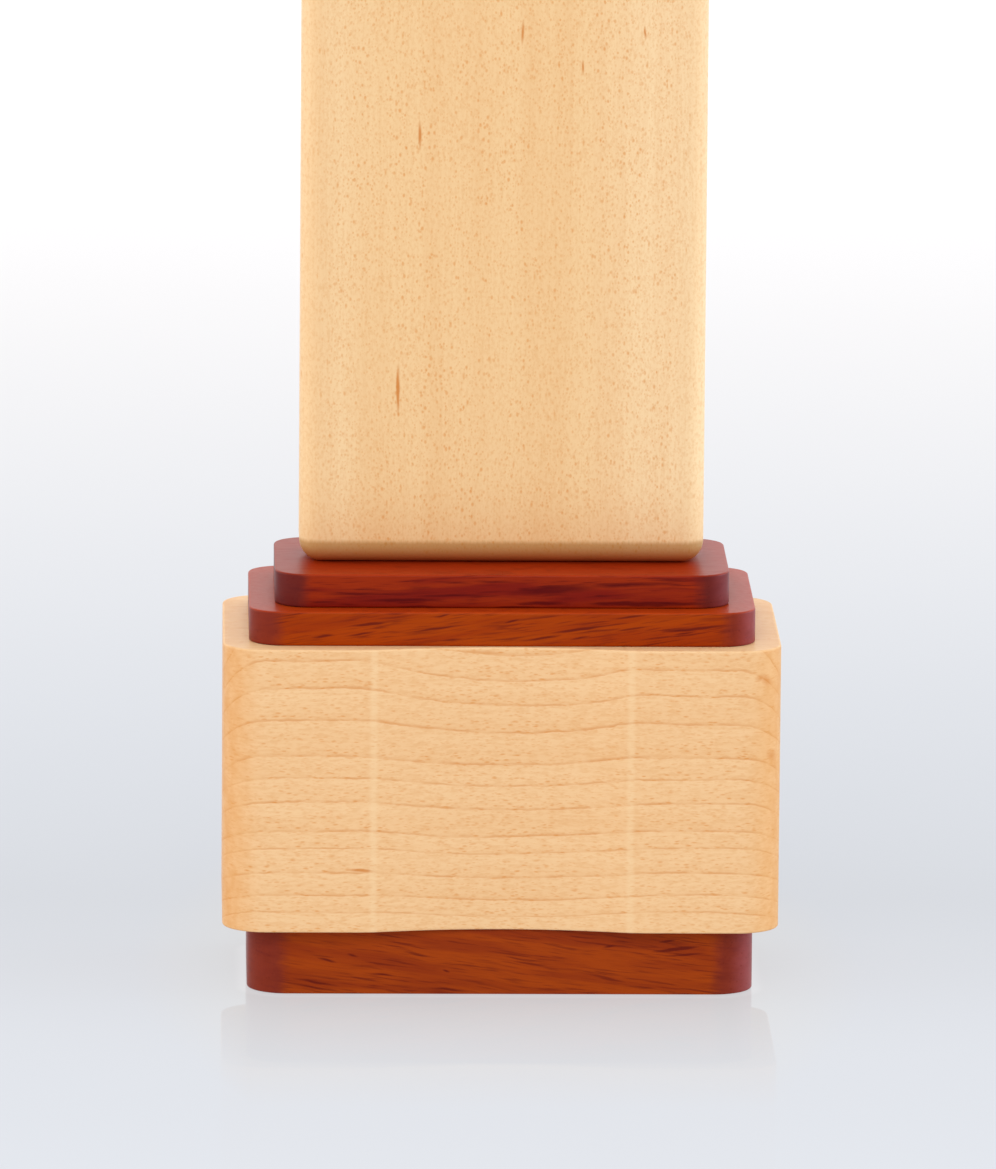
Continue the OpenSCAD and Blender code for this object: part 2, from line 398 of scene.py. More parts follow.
def tablet_mesh(sizes):
    """The board with every edge rounded, and two blind holes for its pins in the foot.

    It is made lying down: the outline runs from the foot's middle to the top's middle, and its quarter-circle
    edges are eased(). Then it is stood up.
    """
    low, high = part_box("tablet")
    width, depth, height = high - low
    x, radius, _, pin_top = peg("tablet_pin_right")
    radius += sizes.peg_gap
    outline = Outline(width, height, sizes.tablet_round)
    profile = eased(-depth / 2, depth / 2, sizes.tablet_round, steps=10)
    flat_rows = (profile[:-1, 0] < WELD) & (profile[1:, 0] < WELD)
    foot = np.arange(len(outline.points) - 1) < len(outline.run) - 1
    shell = Shell()
    wall(shell, outline, profile, keep=~(flat_rows[:, None] & foot))
    flat = profile[profile[:, 0] < WELD, 1]
    across = np.stack(np.meshgrid(outline.run, outline.side), -1)
    for z in (-depth / 2, depth / 2):
        shell.grid(at(z)(across))
    ends = pairs(outline.run[-1], flat)
    loop = np.concatenate([
        pairs(outline.run, flat[0]),
        ends[1:-1],
        pairs(outline.run, flat[-1])[::-1],
        (ends * (0, 1))[-2:0:-1],
    ])

    def place(points, deep=0):
        up = np.broadcast_to(deep - height / 2, points.shape[:-1])
        return np.stack([points[..., 0], up, points[..., 1]], -1)

    cell(shell, loop, x, place, *blind(radius, pin_top - low.z + END_GAP, sizes.edge_ease))
    shell.mirror()
    shell.stand_up(low.z + height / 2)
    return shell.build("maple_tablet")


def step_mesh(sizes, node, name):
    """A step: the tablet's pins go through it, and so do the dowels, unless they end inside it."""
    low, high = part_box(node)
    pin_x, pin_r, _, _ = peg("tablet_pin_right")
    dowel_x, dowel_r, _, dowel_top = peg("step_dowel_right")
    pin_r, dowel_r = pin_r + sizes.peg_gap, dowel_r + sizes.peg_gap
    cut, ease, height = (pin_x + dowel_x) / 2, sizes.edge_ease, high.z - low.z
    above, below = through(dowel_r, height, ease), rim(dowel_r, ease)
    if dowel_top < high.z:
        above, below = disc(dowel_r), blind(dowel_r, dowel_top - low.z + END_GAP, ease)
    return plate_mesh(
        name, node, sizes.step_corner, ease, cuts=[cut],
        top=[(0, cut, pin_x, *through(pin_r, height, ease)), (cut, None, dowel_x, *above)],
        bottom=[(0, cut, pin_x, *rim(pin_r, ease)), (cut, None, dowel_x, *below)])


def block_mesh(sizes):
    """The block: a hollow down its front, holes for pins and dowels on top, for dowels and screws below."""
    low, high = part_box("body_block")
    pin_x, pin_r, pin_low, _ = peg("tablet_pin_right")
    step_x, step_r, step_low, _ = peg("step_dowel_right")
    dowel_x, dowel_r, _, dowel_top = peg("plinth_dowel_right")
    screw_x, _, _, screw_top = peg("plinth_screw_right")
    gap, ease = sizes.peg_gap, sizes.edge_ease
    top_cut, low_cut = (pin_x + step_x) / 2, (screw_x + dowel_x) / 2
    scoop = (sizes.scoop_width / 2, sizes.scoop_depth, sizes.crease_ease)
    return plate_mesh(
        "maple_block", "body_block", sizes.block_corner, ease, cuts=[top_cut, low_cut], scoop=scoop,
        top=[(0, top_cut, pin_x, *blind(pin_r + gap, high.z - pin_low + END_GAP, ease)),
             (top_cut, None, step_x, *blind(step_r + gap, high.z - step_low + END_GAP, ease))],
        bottom=[(0, low_cut, screw_x, *blind(SCREW_CORE, screw_top - low.z + END_GAP, ease)),
                (low_cut, None, dowel_x, *blind(dowel_r + gap, dowel_top - low.z + END_GAP, ease))])


def plinth_mesh(sizes):
    """The plinth: dowel holes on top, screws through it from a recess for the felt underneath."""
    low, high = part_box("plinth")
    _, felt_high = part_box("felt_pad")
    dowel_x, dowel_r, dowel_low, _ = peg("plinth_dowel_right")
    screw_x, head_r, screw_low, _ = peg("plinth_screw_right")
    gap, ease, cut = sizes.peg_gap, sizes.edge_ease, (screw_x + dowel_x) / 2
    rim_width = high.x - felt_high.x - sizes.felt_gap
    shank_r, head_r = SCREW_SHANK + SCREW_GAP, head_r + SCREW_GAP
    rim_deep = screw_low + SCREW_RIM - felt_high.z
    outline = Outline(high.x - low.x, high.y - low.y, sizes.plinth_corner, cuts=[cut])
    shell = Shell()
    wall(shell, outline, eased(low.z, high.z, ease))
    lip = mouth(0, ease) * (-1, 1) + (rim_width, low.z)
    wall(shell, outline, [(ease, low.z), *lip, (rim_width, felt_high.z)])
    screw_turn, _ = face(
        shell, outline.inset(ease), at(high.z, -1), (0, cut, screw_x, *rim(shank_r, ease)),
        (cut, None, dowel_x, *blind(dowel_r + gap, high.z - dowel_low + END_GAP, ease)))
    deep = high.z - felt_high.z
    profile = [(head_r, 0), (head_r, rim_deep), (shank_r, rim_deep + head_r - shank_r),
               (shank_r, deep * 0.6), *(mouth(shank_r, ease)[::-1] * (1, -1) + (0, deep))]
    face(shell, outline.inset(rim_width), at(felt_high.z, 1),
         (0, cut, screw_x, head_r, profile, screw_turn), (cut, None, dowel_x, *disc(dowel_r)))
    shell.mirror()
    return shell.build("red_plinth")


# Radius of the circle in the middle of each half of the felt
FELT_DISC = 4 * MM


def felt_mesh(sizes):
    """The felt sheet, with soft edges and corners that run beside the plinth's."""
    low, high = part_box("felt_pad")
    corner = sizes.plinth_corner - (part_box("plinth")[1].x - high.x)
    whole = [(0, None, (high.x - low.x) / 4, *disc(FELT_DISC))]
    return plate_mesh("wool_felt", "felt_pad", corner, sizes.edge_ease * 0.8, whole, whole)


# Bevel on the ends of pins and dowels, and the flutes of a dowel
PEG_BEVEL = 0.6 * MM
DOWEL_FLUTES = 12
FLUTE_DEEP = 0.14 * MM


def peg_mesh(node, name, flutes=0):
    """A round peg with rounded bevels; flutes are r = R - deep * fade(z) * max(0, cos(flutes * angle))^3."""
    x, radius, low, high = peg(node)
    bevel = mouth(0, PEG_BEVEL, 5) * (-1, 1) + (radius, low)
    end = np.concatenate([[(0, low), (radius - PEG_BEVEL - HOLD, low)], bevel])
    body = np.linspace(low + PEG_BEVEL, high - PEG_BEVEL, 13)[1:-1]
    rows = np.concatenate([end, pairs(radius, body), end[::-1] * (1, -1) + (0, low + high)])
    angles = np.linspace(0, 2 * math.pi, 97 if flutes else 49)[:-1]
    fade = np.clip((rows[:, 1] - low) * (high - rows[:, 1]) / (high - low) / PEG_BEVEL - 1, 0, 1)
    groove = FLUTE_DEEP * fade[:, None] * np.maximum(0, np.cos(flutes * angles)) ** 3 if flutes else 0
    radii = rows[:, :1] - groove + 0 * angles
    shell = Shell()
    shell.grid(at(rows[:, 1:] + 0 * angles)(circle(x, radii, angles)), around=True)
    return shell.build(name)


# The screws: core and shank radii, and the gap round them
SCREW_CORE = 1.2 * MM
SCREW_SHANK = 1.75 * MM
SCREW_GAP = 0.15 * MM
# Straight rim of the head, plain shank above it, height of one turn, and length of the point
SCREW_RIM = 0.4 * MM
SCREW_PLAIN = 7 * MM
SCREW_PITCH = 1.6 * MM
SCREW_POINT = 4 * MM
# Half width, reach and depth of the cross cut in the head
CROSS_HALF = 0.5 * MM
CROSS_REACH = 2 * MM
CROSS_DEEP = 1.5 * MM


def screw_mesh(node, name):
    """A countersunk screw, head down, as one surface r(angle, row) about its axis.

    The cross in the head is the polar outline of two crossed bars. The thread is
    r = core + (shank - core) * max(0, 1 - |phase - 1/2| / 0.3), where phase is the fraction left of
    z / pitch - angle / turn, and both radii run down to nothing at the point.
    """
    x, head, low, high = peg(node)
    corner = math.atan(CROSS_HALF / CROSS_REACH)
    octant = np.unique([*np.linspace(0, math.pi / 2, 19), corner, math.pi / 2 - corner, math.pi / 4])[:-1]
    angles = np.concatenate([octant + k * math.pi / 2 for k in range(4)])
    cos, sin = np.abs(np.cos(angles)) + 1e-9, np.abs(np.sin(angles)) + 1e-9
    flat_bar = np.minimum(CROSS_REACH / cos, CROSS_HALF / sin)
    upright_bar = np.minimum(CROSS_REACH / sin, CROSS_HALF / cos)
    cross = np.maximum(flat_bar, upright_bar)
    soft = 0.15 * MM
    cone = low + SCREW_RIM + head - SCREW_SHANK
    straight = [(head - soft - HOLD, low), (head - soft, low), (head - soft * 0.3, low + soft * 0.3),
                (head, low + soft), (head, low + SCREW_RIM - HOLD), (head, low + SCREW_RIM),
                (SCREW_SHANK, cone), (SCREW_CORE, cone + SCREW_SHANK - SCREW_CORE)]
    radii, heights = np.array(straight).T[:, :, None] + 0 * angles
    z = np.linspace(cone + SCREW_SHANK - SCREW_CORE, high, 130)[1:, None] + 0 * angles
    phase = (z / SCREW_PITCH - angles / (2 * math.pi)) % 1
    ridge = np.maximum(0, 1 - np.abs(phase - 0.5) / 0.3)
    start = np.clip((z - cone - SCREW_PLAIN) / SCREW_PITCH, 0, 1)
    point = np.clip((high - z) / SCREW_POINT, 0, 1)
    thread = point * (SCREW_CORE + (SCREW_SHANK - SCREW_CORE) * ridge * start)
    rows = np.concatenate([[0 * cross, 0.7 * cross, cross, cross + HOLD], radii, thread])
    cross_z = np.array([CROSS_DEEP, CROSS_DEEP, 0, 0])[:, None] + low + 0 * angles
    levels = np.concatenate([cross_z, heights, z])
    shell = Shell()
    shell.grid(at(levels)(circle(x, rows, angles)), around=True)
    return shell.build(name, sharp=35)


# ---------------------------------------------------------------- shader sums


# What the satin finish of the wood reflects, as a refractive index: little, except at a low angle
SATIN = 1.165
# Depth of the grain in millimetres
GRAIN = 0.005
# A dash is the middle of a soft ball: the ball's radius as a share of the dash's length and of its width,
# its radius inwards in millimetres, and how much brighter than the ball the dash is
DASH_LENGTH = 0.58
DASH_WIDTH = 0.5
DASH_DEEP = 9.0
DASH_BRIGHT = 1.8


def both_ways(operation):
    """The two methods of an operator: output with other, and other with output."""
    return (lambda self, other: self.graph.math(operation, self, other),
            lambda self, other: self.graph.math(operation, other, self))


class Wire:
    """A shader output that takes part in sums with numbers and other outputs."""

    def __init__(self, graph, socket):
        self.graph, self.socket = graph, socket

    def __abs__(self):
        return self.graph.math("ABSOLUTE", self)

    def __pow__(self, other):
        return self.graph.math("POWER", self, other)

    __add__, __radd__ = both_ways("ADD")
    __sub__, __rsub__ = both_ways("SUBTRACT")
    __mul__, __rmul__ = both_ways("MULTIPLY")
    __truediv__, __rtruediv__ = both_ways("DIVIDE")


class Graph:
    """The node tree of a material or of the surroundings."""

    def __init__(self, tree):
        self.tree = tree
        tree.nodes.clear()

    def add(self, kind, values, ramp=None, **settings):
        """Adds a node: settings and ramp stops first, then values or links by input. Gives its outputs."""
        node = self.tree.nodes.new("ShaderNode" + kind)
        for name, value in settings.items():
            setattr(node, name, value)
        if ramp:
            stops = node.color_ramp.elements
            while len(stops) < len(ramp):
                stops.new(1)
            for stop, (place, tone) in zip(stops, ramp):
                stop.position = place
                stop.color = (tone, tone, tone, 1)
        for key, value in values.items():
            socket = node.inputs[key]
            if isinstance(value, Wire):
                self.tree.links.new(value.socket, socket)
            else:
                socket.default_value = (*value, 1) if socket.type == "RGBA" and len(value) == 3 else value
        return {socket.name: Wire(self, socket) for socket in node.outputs if socket.enabled}

    def math(self, operation, first, second=0.0):
        return self.add("Math", {0: first, 1: second}, operation=operation)["Value"]

    def vector(self, operation, first, second):
        keys = {0: first, ("Scale" if operation == "SCALE" else 1): second}
        return self.add("VectorMath", keys, operation=operation)["Vector"]

    def mix(self, share, first, second):
        """Mixes two colours."""
        keys = {"Factor": share, 6: first, 7: second}
        return self.add("Mix", keys, data_type="RGBA", clamp_factor=True)["Result"]

    def layers(self, colour, *coats):
        """Lays coats of (share, colour) over a colour, one after another."""
        for share, coat in coats:
            colour = self.mix(share, colour, coat)
        return colour

    def step(self, value, start, end, low=0.0, high=1.0):
        """Goes smoothly from low at start to high at end."""
        values = {"Value": value, "From Min": start, "From Max": end, "To Min": low, "To Max": high}
        return self.add("MapRange", values, interpolation_type="SMOOTHSTEP")["Result"]

    def axes(self, place):
        parts = self.add("SeparateXYZ", {0: place})
        return parts["X"], parts["Y"], parts["Z"]

    def place(self):
        """The point on the piece, in millimetres."""
        return self.vector("SCALE", self.add("TexCoord", {})["Object"], 1 / MM)

    def scaled(self, place, spread, seed):
        """The point as a share of spread in each direction, moved by seed."""
        return self.vector("ADD", self.vector("DIVIDE", place, spread), (seed, 2 * seed, 3 * seed))

    def noise(self, place, spread, detail=2, rough=0.5, seed=0.0, output="Fac"):
        """Cloudy noise from 0 to 1, as large as spread in each direction; seed moves it."""
        place = self.scaled(place, spread, seed)
        values = {"Vector": place, "Scale": 1, "Detail": detail, "Roughness": rough}
        return self.add("TexNoise", values, noise_dimensions="3D")[output]

    def warp(self, place, spread, amount, seed=0.0):
        """Moves the point by up to half of amount in each direction."""
        cloud = self.noise(place, spread, 1, seed=seed, output="Color")
        shift = self.vector("MULTIPLY", self.vector("SUBTRACT", cloud, (0.5, 0.5, 0.5)), amount)
        return self.vector("ADD", place, shift)

    def flecks(self, place, spread, keep, inner, outer, seed=0.0):
        """1 within inner of random points, 0 outside outer, for the share keep of them, some weaker."""
        values = {"Vector": self.scaled(place, spread, seed), "Scale": 1, "Randomness": 1}
        nearest = self.add("TexVoronoi", values, feature="F1")
        chance, strength, size = self.axes(nearest["Color"])
        spot = self.step(nearest["Distance"] / (0.6 + 0.4 * size), outer, inner)
        return spot * self.step(chance, keep, keep * 0.9) * (0.35 + 0.65 * strength)

    def dashes(self, place, marks, front):
        """1 along thin marks of (x, z, x, z, width, strength) in millimetres, which start at y = front."""
        total = None
        for x0, z0, x1, z1, width, strength in marks:
            values = {
                "Vector": place,
                "Location": ((x0 + x1) / 2, front, (z0 + z1) / 2),
                "Rotation": (0, -math.atan2(z1 - z0, x1 - x0), 0),
                "Scale": (math.hypot(x1 - x0, z1 - z0) * DASH_LENGTH, DASH_DEEP, width * DASH_WIDTH),
            }
            near = self.add("Mapping", values, vector_type="TEXTURE")["Vector"]
            ball = self.add("TexGradient", {"Vector": near}, gradient_type="SPHERICAL")["Fac"]
            dash = ball * (DASH_BRIGHT * strength)
            total = dash if total is None else self.math("MAXIMUM", total, dash)
        return self.math("MINIMUM", total, 1.0)

    def shade(self, colour, roughness, height=None, deep=0.0, **constants):
        """Ends a material: height is relief of deep millimetres, and constants are the shader's own."""
        values = {"Base Color": colour, "Roughness": roughness}
        values.update({name.replace("_", " "): value for name, value in constants.items()})
        if height is not None:
            relief = {"Strength": 1.0, "Distance": deep * MM, "Height": height}
            values["Normal"] = self.add("Bump", relief)["Normal"]
        surface = self.add("BsdfPrincipled", values)["BSDF"]
        self.add("OutputMaterial", {"Surface": surface})

    def satin(self, wood, fibres, pores, rough):
        """Ends a wood with a satin finish, as smooth as rough in its dark fibres and duller in the pale ones.

        Its relief is the fibres less the pores.
        """
        roughness = self.step(fibres, 0.2, 0.8, rough, rough + 0.08)
        self.shade(wood, roughness, fibres - pores, GRAIN, IOR=SATIN)


def new_material(name):
    """A material, its graph, and the point on the piece."""
    material = bpy.data.materials.new(name)
    material.use_nodes = True
    graph = Graph(material.node_tree)
    return material, graph, graph.place()


# ---------------------------------------------------------------- materials

# Radii in millimetres at which the block's growth rings end, and the pith that they are drawn about
RINGS = (
    10.6, 13.6, 16.5, 19.4, 22.8, 25.0, 27.4, 30.4, 34.2, 36.7, 39.5, 42.9, 45.0, 48.1, 50.9, 53.0, 56.1,
    59.5, 62.6,
)
PITH_Y = 0.6
PITH_Z = 61.0
# Above this height the rings sink towards the right, by this share of what is above it
LEAN_FROM = 32
LEAN = 0.1

# Dark streaks that the woods have, each from x, z to x, z in millimetres, with its width and strength
TABLET_MARKS = (
    (-11.6, 119.3, -11.5, 115.2, 0.55, 0.8), (-14.3, 85.5, -14.3, 78.6, 0.6, 1.0),
    (2.3, 133.1, 2.3, 129.6, 0.5, 0.7), (10.5, 127.6, 10.5, 125.6, 0.4, 0.8),
    (18.9, 132.4, 18.9, 130.4, 0.4, 0.7),
)
BLOCK_MARKS = (
    (-21.1, 18.2, -17.0, 18.0, 0.5, 1.0), (35.0, 45.4, 36.6, 43.6, 1.6, 0.5),
    (34.2, 44.6, 35.8, 45.0, 1.0, 0.5), (36.2, 34.8, 37.2, 33.0, 1.6, 0.5),
)
LOWER_MARKS = (
    (-25.9, 49.8, -22.8, 50.1, 0.45, 0.9), (-20.9, 51.3, -15.4, 52.0, 0.5, 1.0),
    (-21.3, 50.0, -17.3, 50.7, 0.4, 0.8), (-13.3, 50.4, -4.7, 51.7, 0.4, 0.8),
    (-9.3, 52.6, -7.0, 53.1, 0.4, 0.7), (-8.5, 49.4, -5.7, 49.7, 0.4, 0.7), (0.1, 51.8, 2.3, 52.4, 0.4, 0.8),
    (2.7, 49.4, 8.1, 50.2, 0.45, 0.9), (6.5, 50.5, 14.0, 51.5, 0.5, 1.0), (14.6, 52.4, 20.0, 53.1, 0.45, 0.8),
    (21.7, 50.6, 30.2, 51.6, 0.5, 1.0), (9.2, 49.5, 11.9, 50.1, 0.4, 0.7), (23.1, 50.2, 26.3, 50.8, 0.4, 0.7),
)
UPPER_MARKS = (
    (-24.0, 55.2, -16.0, 55.3, 0.6, 0.7), (-19.0, 54.3, -8.0, 54.5, 0.6, 0.9),
    (-12.0, 54.9, -2.0, 55.2, 0.5, 0.7), (1.0, 55.4, 13.0, 56.3, 1.5, 0.9),
    (10.0, 56.3, 24.0, 56.9, 0.9, 0.7), (-4.0, 57.0, 1.5, 57.0, 0.5, 0.6), (12.0, 54.0, 26.0, 53.9, 0.9, 1.0),
    (-9.0, 56.9, -4.0, 56.8, 0.5, 0.5), (2.0, 54.0, 9.0, 54.0, 0.7, 0.8),
)
PLINTH_MARKS = (
    (-25.1, 5.3, -22.4, 4.6, 0.5, 0.8), (-20.9, 5.8, -19.4, 5.4, 0.45, 0.7),
    (-28.4, 2.4, -22.0, 1.3, 0.5, 0.8), (-28.9, 1.7, -22.0, 0.5, 0.45, 0.7),
    (-17.6, 3.1, -14.8, 2.8, 0.45, 0.7), (-9.8, 1.1, -4.4, 0.6, 0.5, 0.8), (-7.9, 3.6, -6.9, 3.3, 0.45, 0.8),
    (21.0, 6.2, 27.1, 7.0, 0.6, 1.3), (21.7, 7.6, 23.9, 7.8, 0.45, 0.9), (14.0, 6.8, 15.8, 7.1, 0.45, 0.8),
    (22.6, 5.6, 27.8, 6.0, 0.45, 0.8),
)


def tablet_maple(colours):
    """Maple with upright grain: faint bands, fibres, and small orange-brown dots where the rays end, and
    painted shade towards its foot.
    """
    material, graph, place = new_material("tablet_maple_look")
    low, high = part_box("tablet")
    foot, top = low.z / MM, high.z / MM
    x, _, z = graph.axes(place)
    bent = graph.warp(place, (14, 14, 30), (2.2, 2.2, 0))
    bands = graph.noise(bent, (3.0, 9, 120), 3, seed=3)
    fibres = graph.noise(bent, (0.3, 0.5, 10), 3, 0.6, seed=7)
    mottle = graph.noise(bent, (0.36, 1.5, 0.6), 2, 0.6, seed=6)
    crowd = graph.noise(bent, (1.6, 9, 34), 2, seed=2)
    on_face = graph.step(abs(x), high.x / MM - 6, high.x / MM - 1, 1.0, 0.3)
    dots = graph.flecks(bent, (0.62, 2.8, 0.95), 0.8, 0.12, 0.45, seed=11)
    dots = dots * graph.step(crowd, 0.34, 0.64, 0.35, 1.0) * on_face
    small = graph.flecks(bent, (0.4, 2.0, 0.55), 0.9, 0.12, 0.48, seed=31)
    long_dots = graph.flecks(bent, (0.7, 2.0, 2.4), 0.3, 0.08, 0.3, seed=5)
    streaked = graph.warp(place, (1.5, 1.5, 3), (0.35, 0, 0.4), seed=9)
    across = x + 6 * bands
    sap = graph.math("MAXIMUM", graph.step(across, 10, 25), graph.step(across, -12, -24) * 0.6)
    wood = graph.layers(
        colours.tablet,
        (sap, colours.sapwood_and_highlight),
        (graph.step(bands, 0.3, 0.75) * 0.16, colours.dot),
        (graph.step(fibres, 0.4, 0.75) * 0.1, colours.dot),
        (graph.step(mottle, 0.42, 0.7) * 0.22, colours.dot),
        (small * on_face * 0.36, colours.ray),
        (dots * 0.62, colours.ray),
        (long_dots * 0.42, colours.ray),
        (graph.dashes(streaked, TABLET_MARKS, low.y / MM) * 0.9, colours.ring),
        # Painted shade: darker over the last 14 millimetres down to the foot, where the tablet stands on the
        # step
        (graph.step(z, foot + 14, foot + 1) * 0.16, colours.dot),
        (graph.step(z, top - 2.6, top - 0.4) * 0.4, colours.fleck_and_shade),
        # Painted shade on the rounding at the foot, which faces down to the red step
        (graph.step(z + 0.5 * fibres, foot + 3.8, foot + 3.0) * 0.7, colours.foot),
        # Painted shade: darkest at the very bottom of the foot
        (graph.step(z, foot + 2.6, foot + 0.4) * 0.8, colours.fleck_and_shade),
    )
    graph.satin(wood, fibres, dots * 0.4, 0.34)
    return material


def growth_rings(graph, x, y, z):
    """From 0 to 1 across each ring: the fraction of a ramp over sqrt((y - pith)^2 + (z + lean - pith)^2)."""
    lean = graph.step(x, -8, 26) * graph.math("MAXIMUM", z - LEAN_FROM, 0) * LEAN
    radius = graph.math("SQRT", (y - PITH_Y) ** 2 + (z + lean - PITH_Z) ** 2)
    first, last, count = RINGS[0], RINGS[-1], len(RINGS) - 1
    stops = [((ring - first) / (last - first), index / count) for index, ring in enumerate(RINGS)]
    ramp = graph.add("ValToRGB", {0: (radius - first) / (last - first)}, ramp=stops)["Color"]
    number, _, _ = graph.axes(ramp)
    return graph.math("FRACT", number * count + 0.0005)


def block_maple(sizes, colours):
    """Maple with its grain along X: growth rings that darken slowly to a thin line, and small flecks, with
    painted highlights down the creases of the hollow and along the top.
    """
    material, graph, place = new_material("block_maple_look")
    low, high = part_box("body_block")
    x, _, up = graph.axes(place)
    bent = graph.warp(place, (16, 9, 9), (0, 0.7, 0.7))
    bent = graph.warp(bent, (1.6, 0.8, 0.8), (0, 0.26, 0.26), seed=4)
    _, y, z = graph.axes(bent)
    part = growth_rings(graph, x, y, z)
    dashed = graph.noise(place, (4, 3, 1.1), 2, seed=6)
    line = graph.step(part, 0.87, 0.97) * graph.step(part, 1.0, 0.985)
    line = line * graph.step(dashed, 0.38, 0.62, 0.2, 1.0)
    fibres = graph.noise(bent, (7, 0.5, 0.2), 3, 0.6, seed=7)
    bands = graph.noise(bent, (70, 8, 2.6), 2, seed=1)
    mottle = graph.noise(bent, (1.6, 1.2, 0.42), 2, 0.6, seed=6)
    dots = graph.flecks(bent, (1.3, 2.2, 0.36), 0.95, 0.1, 0.46, seed=13)
    dots = dots * graph.step(part, 0.1, 0.8, 0.45, 1.0)
    small = graph.flecks(bent, (0.9, 1.6, 0.26), 0.9, 0.1, 0.46, seed=17)
    end = graph.step(abs(x), (high.x - sizes.block_corner) / MM, high.x / MM)
    cloud = graph.noise(place, (1.6, 1.6, 2.4), 3, seed=8)
    streaked = graph.warp(place, (3, 1.5, 1.5), (0.4, 0, 0.3), seed=9)
    # Painted highlight: a pale line down each crease where the hollow meets the flat front
    from_crease = abs(abs(x) - sizes.scoop_width / 2 / MM)
    crease_highlight = graph.step(from_crease, 0.8, 0.1) * graph.step(y, low.y / MM + 2, low.y / MM + 1)
    wood = graph.layers(
        colours.block,
        (graph.step(bands, 0.3, 0.75) * 0.12, colours.dot),
        (part * part * 0.14, colours.dot),
        (graph.step(fibres, 0.4, 0.75) * 0.1, colours.dot),
        (graph.step(mottle, 0.4, 0.7) * 0.24, colours.dot),
        (line * 0.48, colours.ring),
        (small * 0.36, colours.ray),
        (dots * 0.6, colours.ray),
        (end * graph.step(cloud, 0.25, 0.75, 0.6, 1.0) * 0.72, colours.dot),
        (graph.dashes(streaked, BLOCK_MARKS, low.y / MM) * 0.8, colours.ring),
        (crease_highlight * 0.34, colours.sapwood_and_highlight),
        # Painted highlight: paler along the top edge and over the top face
        (graph.step(up, high.z / MM - 0.3, high.z / MM - 0.05) * 0.35, colours.sapwood_and_highlight),
    )
    graph.satin(wood, fibres, dots * 0.4, 0.34)
    return material


def red_hardwood(name, node, corner, tones, marks, slant, seed, shares):
    """Red hardwood with its grain along X, in the tones ground, band, dark, left end, right end and top; the
    right end's tone carries a painted bluish reflection.

    It has wide bands, fibres, thin soft streaks that rise by slant to the right, the marks given, and end
    grain past the start of the rounded corners. shares are those of the bands, the streaks and the top.
    """
    material, graph, place = new_material(name)
    ground, band, dark, left_end, right_end_sheen, top = tones
    band_share, streak_share, top_share = shares
    low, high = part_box(node)
    x, y, z = graph.axes(place)
    turned = {"Vector": place, "Rotation": (0, math.atan(slant), 0)}
    along = graph.add("Mapping", turned, vector_type="POINT")["Vector"]
    bent = graph.warp(along, (10, 6, 5), (0, 0.7, 0.7), seed=seed)
    bands = graph.noise(bent, (24, 6, 2.0), seed=seed + 1)
    streaks = graph.noise(bent, (5.5, 2.5, 0.34), 2, 0.45, seed=seed + 2)
    where = graph.noise(bent, (9, 3, 1.6), 1, seed=seed + 3)
    streaks = graph.step(streaks, 0.5, 0.68) * graph.step(where, 0.35, 0.6, 0.25, 1.0)
    fibres = graph.noise(bent, (4, 0.4, 0.12), 2, 0.6, seed=seed + 4)
    lines = graph.flecks(bent, (4.4, 4.0, 0.3), 0.75, 0.1, 0.48, seed=seed + 5)
    streaked = graph.warp(place, (2.5, 1.5, 1.5), (0.5, 0, 0.3), seed=seed + 6)
    pores = graph.flecks(place, (0.8, 0.5, 0.5), 0.6, 0.1, 0.4, seed=seed + 7)
    cloud = graph.noise(place, (2.5, 2.5, 1.6), seed=seed + 8)
    at_front = graph.step(y, low.y / MM + 2.0, low.y / MM + 0.3, 0.45, 1.0)
    start = (high.x - corner) / MM
    end = graph.step(abs(x) + 2.0 * cloud, start + 0.2, start + 2.6)
    # Painted reflection: the end grain turns paler and bluer towards the right end
    right_sheen_mask = graph.step(x, (high.x - corner * 0.7) / MM, high.x / MM - 0.3)
    ends = graph.layers(
        left_end,
        (right_sheen_mask, right_end_sheen),
        (pores * 0.4 + graph.step(cloud, 0.3, 0.8) * 0.3, dark),
    )
    wood = graph.layers(
        ground,
        (graph.step(bands, 0.4, 0.62) * at_front * band_share, band),
        (streaks * streak_share, dark),
        (lines * streak_share * 0.8, dark),
        (graph.step(fibres, 0.45, 0.8) * 0.25, dark),
        (graph.dashes(streaked, marks, low.y / MM) * 0.8, dark),
        (end * 0.85, ends),
        (graph.step(z, high.z / MM - 0.25, high.z / MM - 0.02) * top_share, top),
    )
    graph.satin(wood, fibres, lines * 0.5, 0.3)
    return material


def upper_red(sizes, colours):
    # The right end grain with its painted reflection, darker for the upper step
    right_end_sheen = tuple(0.72 * part for part in colours.pale_end_sheen)
    tones = (colours.upper_red, colours.upper_band, colours.upper_streak, colours.upper_end, right_end_sheen)
    return red_hardwood("step_redwood_dark_look", "upper_step", sizes.step_corner,
                        (*tones, colours.red_top), UPPER_MARKS, 0.03, 21, (0.9, 0.65, 0.4))


def lower_red(sizes, colours):
    tones = (colours.lower_red, colours.lower_band, colours.streak, colours.red_end, colours.pale_end_sheen)
    return red_hardwood("step_redwood_bright_look", "lower_step", sizes.step_corner,
                        (*tones, colours.red_top), LOWER_MARKS, 0.14, 41, (0.6, 0.6, 0.55))


def plinth_red(sizes, colours):
    tones = (colours.plinth_red, colours.plinth_band, colours.streak, colours.red_end, colours.pale_end_sheen)
    return red_hardwood("plinth_redwood_look", "plinth", sizes.plinth_corner,
                        (*tones, colours.red_top), PLINTH_MARKS, -0.13, 61, (0.65, 0.58, 0.3))


